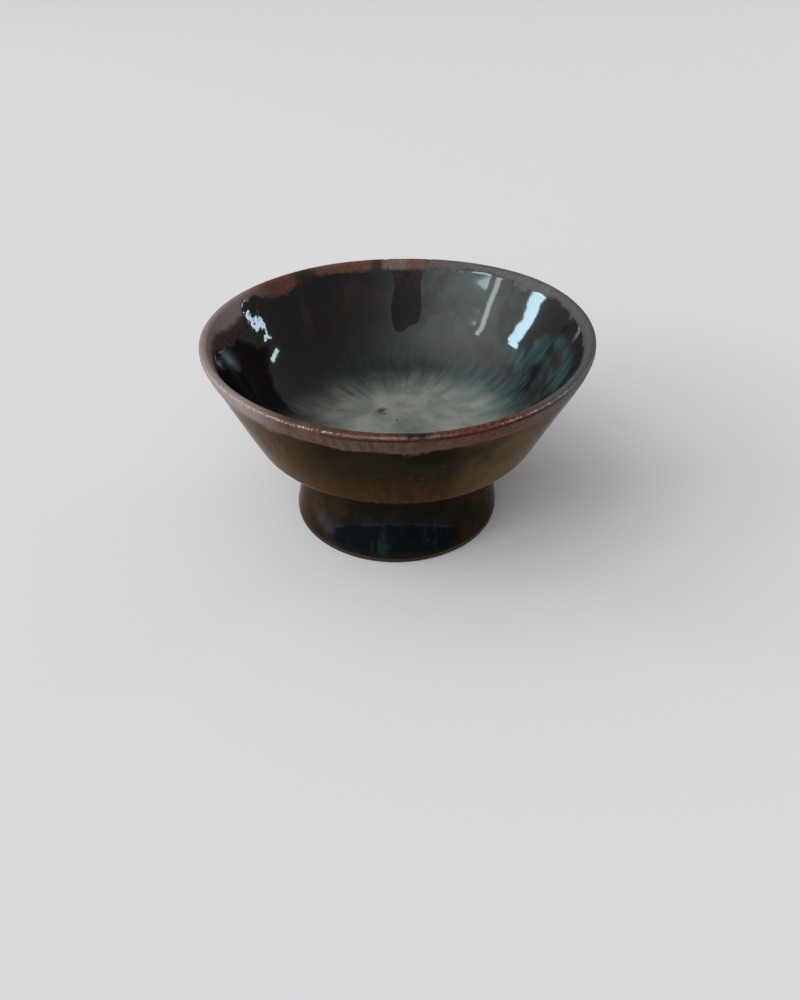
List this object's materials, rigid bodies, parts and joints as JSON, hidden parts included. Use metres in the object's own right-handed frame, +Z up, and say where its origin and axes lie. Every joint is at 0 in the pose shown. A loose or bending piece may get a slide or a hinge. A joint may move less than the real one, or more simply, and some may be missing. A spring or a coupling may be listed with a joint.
{
  "type": "sake cup",
  "caption": "Footed stoneware sake cup: a flared conical bowl on an attached foot ring, in dark running glaze with a red-brown lip and a pale glaze pool in the well.",
  "frame": {"origin": "centre of the foot's base, on the surface the cup stands on", "axes": "+Z up along the cup's axis; the picture looks along +Y from above the near side, with +X to its right"},
  "size_m": [0.0682, 0.0682, 0.0371],
  "materials": {
    "clay": "bare fired stoneware clay, reddish brown and matt",
    "slip": "fired clay slip, matt",
    "inner_glaze": "glossy black-brown iron glaze with fine blue-green streaks",
    "pool_glaze": "glossy pale celadon grey, feathered at its edge",
    "outer_glaze": "glossy amber brown over dark brown",
    "foot_glaze": "glossy black-brown with blue-green mottling",
    "rim_wash": "satin red-brown iron wash over the lip"
  },
  "bodies": {
    "root": {"bowl": "clay", "foot_ring": "clay", "luting_slip": "slip", "inner_glaze": "inner_glaze", "pool_glaze": "pool_glaze", "outer_glaze": "outer_glaze", "foot_glaze": "foot_glaze", "rim_wash": "rim_wash"}
  },
  "joints": []
}
